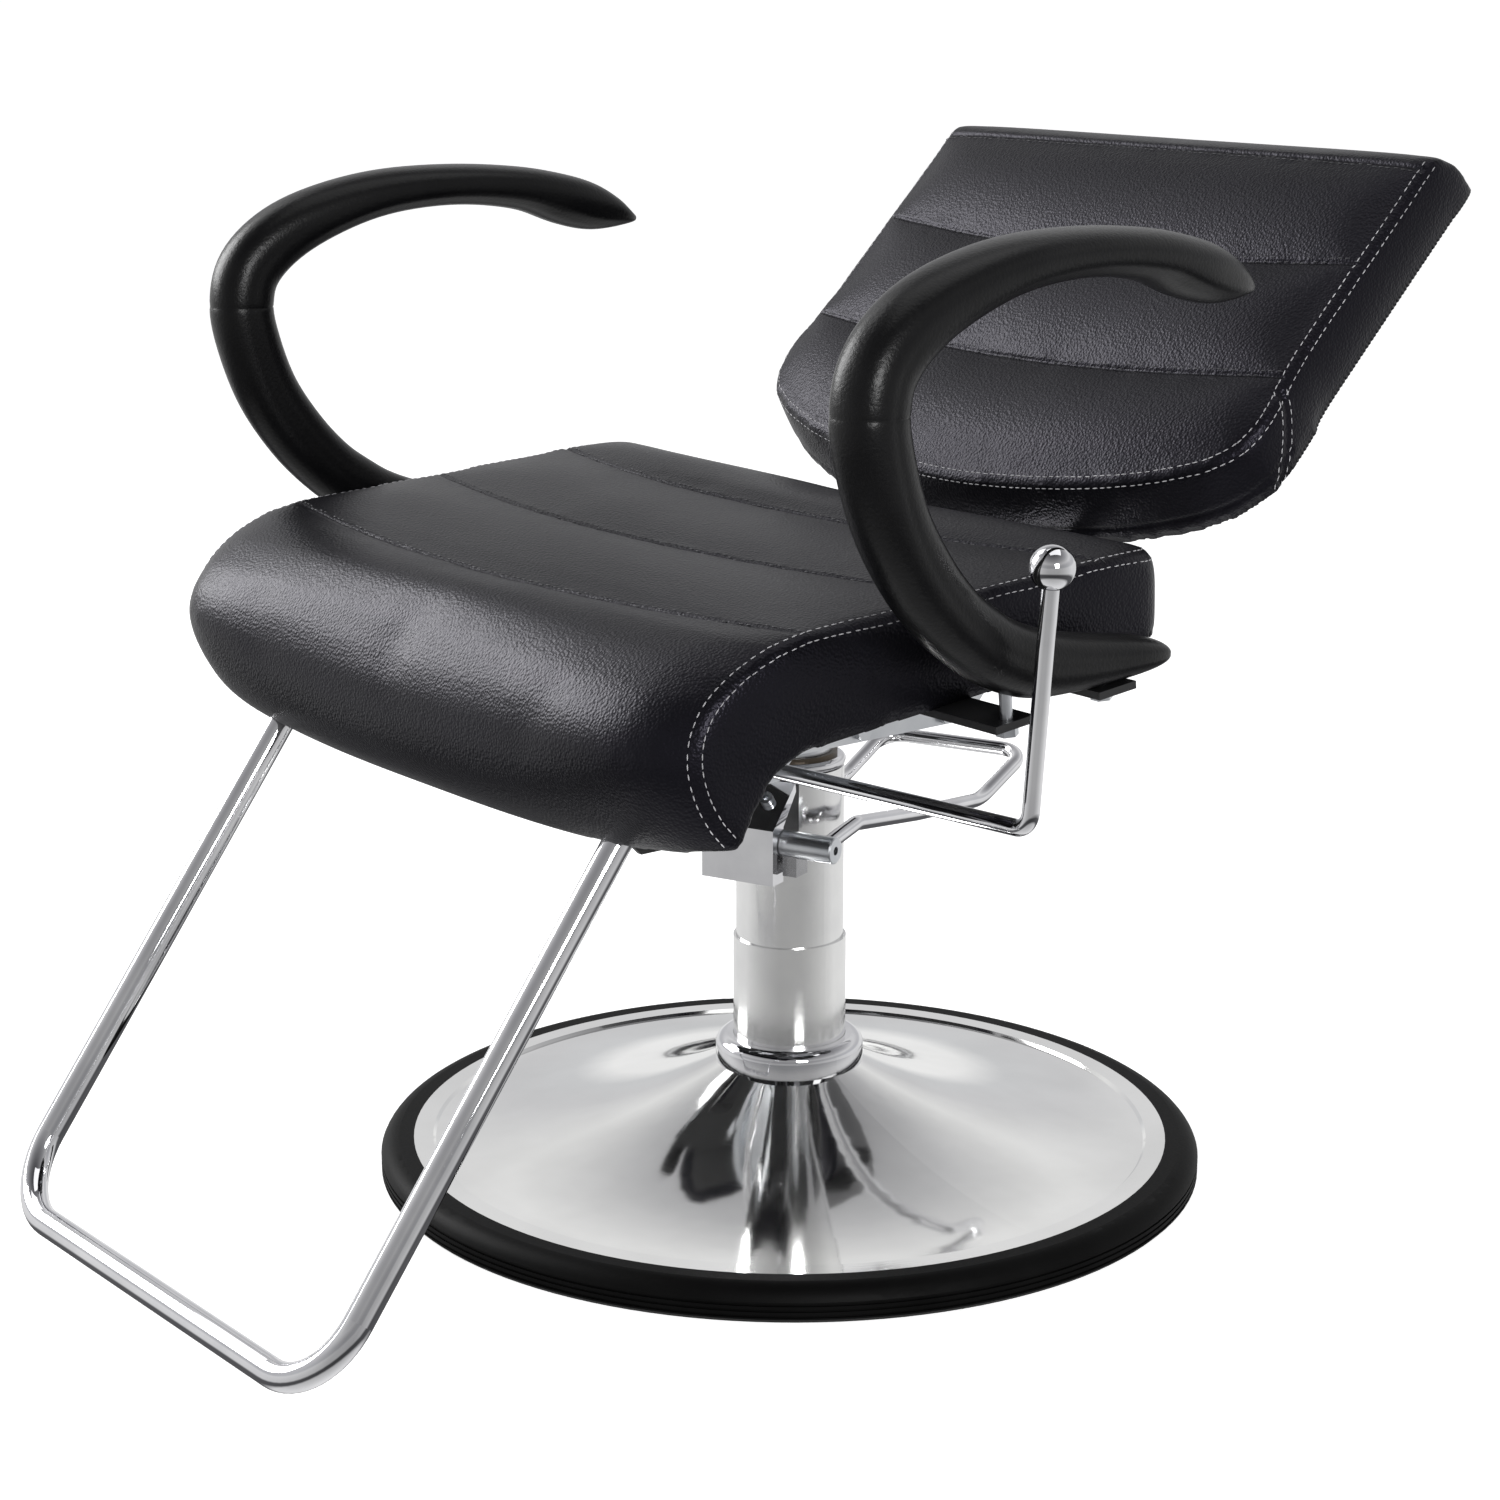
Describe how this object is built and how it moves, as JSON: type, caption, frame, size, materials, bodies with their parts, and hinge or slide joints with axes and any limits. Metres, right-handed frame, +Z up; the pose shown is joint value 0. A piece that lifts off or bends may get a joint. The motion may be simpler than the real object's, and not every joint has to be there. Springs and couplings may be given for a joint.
{
  "type": "styling chair",
  "caption": "Hydraulic styling chair with a round dish base, swivelling channelled seat, reclining back, loop arms, foot pedal, side lever and U-shaped footrest.",
  "frame": {"origin": "centre of the round base, on the floor", "axes": "+Z up along the column, -Y the way the sitter faces, +X the sitter's left"},
  "size_m": [0.7731, 0.9604, 0.7297],
  "materials": {
    "rubber": "ribbed black moulding",
    "chrome": "polished",
    "black_steel": "satin black paint",
    "steel": "ground",
    "zinc": "zinc plated",
    "casting": "grey casting",
    "bronze": "sintered bronze",
    "nylon": "natural",
    "plywood": "raw",
    "vinyl": "black vinyl-coated upholstery fabric over foam",
    "urethane": "pebbled integral skin"
  },
  "bodies": {
    "base": {"base_ring": "rubber", "base_dish": "chrome", "base_plate": "black_steel", "base_bolts": "zinc", "outer_tube": "chrome", "column_collar": "chrome", "hydraulic_cylinder": "steel", "gland_nut": "steel"},
    "lift": {"lift_tube": "chrome", "lift_ram": "steel", "ram_piston": "steel", "pump_housing": "casting", "pump_cover": "chrome", "cover_screws": "zinc", "top_cap": "chrome", "swivel_spindle": "steel", "thrust_washer": "bronze", "spindle_retainer": "steel"},
    "pedal": {"pedal_shaft": "chrome", "pedal_set_screws": "zinc", "pedal_loop": "chrome", "pump_cam": "black_steel"},
    "seat": {"side_plate_left": "zinc", "side_plate_right": "zinc", "front_cross_bar": "black_steel", "saddle": "zinc", "swivel_bush": "bronze", "saddle_bolts": "zinc", "hinge_bolts": "zinc", "seat_board": "plywood", "seat_bolts": "zinc", "seat_cushion": "vinyl", "arm_left": "urethane", "arm_right": "urethane", "arm_bracket_left": "black_steel", "arm_bracket_right": "black_steel", "arm_bolts": "zinc", "footrest": "chrome", "footrest_bracket_left": "black_steel", "footrest_bracket_right": "black_steel", "footrest_bolts": "zinc", "lock_bracket": "black_steel", "lock_pivot_pin": "steel", "lever_bush": "nylon", "lever_bracket": "black_steel"},
    "back": {"back_board": "plywood", "back_cushion": "vinyl", "back_bar_left": "black_steel", "back_bar_right": "black_steel", "back_bolts": "zinc", "back_cross_tube": "black_steel"},
    "lock": {"lock_cylinder": "black_steel", "release_pin": "steel"},
    "lock_rod": {"lock_rod": "steel", "rod_clevis": "steel"},
    "recline_lever": {"recline_lever": "chrome", "lever_knob": "chrome", "lever_cam": "black_steel"}
  },
  "joints": [
    {"name": "lift", "type": "slide", "parent": "base", "child": "lift", "axis": [0, 0, 1], "range_m": [0, 0.12]},
    {"name": "pedal", "type": "hinge", "parent": "lift", "child": "pedal", "pos_m": [0.02209, -0.05579, 0.259], "axis": [0.9298, 0.3681, 0], "range_deg": [-14, 0], "stiffness_Nm_per_rad": 10, "springref_deg": 20.05},
    {"name": "swivel", "type": "hinge", "parent": "lift", "child": "seat", "pos_m": [0, 0, 0.32], "axis": [0, 0, 1], "continuous": true},
    {"name": "back_recline", "type": "hinge", "parent": "seat", "child": "back", "pos_m": [0, 0.095, 0.415], "axis": [1, 0, 0], "range_deg": [0, 32]},
    {"name": "lever_pull", "type": "hinge", "parent": "seat", "child": "recline_lever", "pos_m": [0, -0.128, 0.337], "axis": [0.9987, 0, 0.0506], "range_deg": [-18, 0], "stiffness_Nm_per_rad": 2, "springref_deg": 17.19},
    {"name": "lock_tilt", "type": "hinge", "parent": "seat", "child": "lock", "pos_m": [0.075, -0.095, 0.382], "axis": [1, 0, 0], "range_deg": [-0.2, 1.3]},
    {"name": "lock_extend", "type": "slide", "parent": "lock", "child": "lock_rod", "axis": [0, 1, 0], "range_m": [-0.0005, 0.018]}
  ],
  "couplings": [
    {"joint": "lock_tilt", "follows": "back_recline", "ratio": 0.036},
    {"joint": "lock_extend", "follows": "back_recline", "m_per_rad": 0.0314}
  ]
}
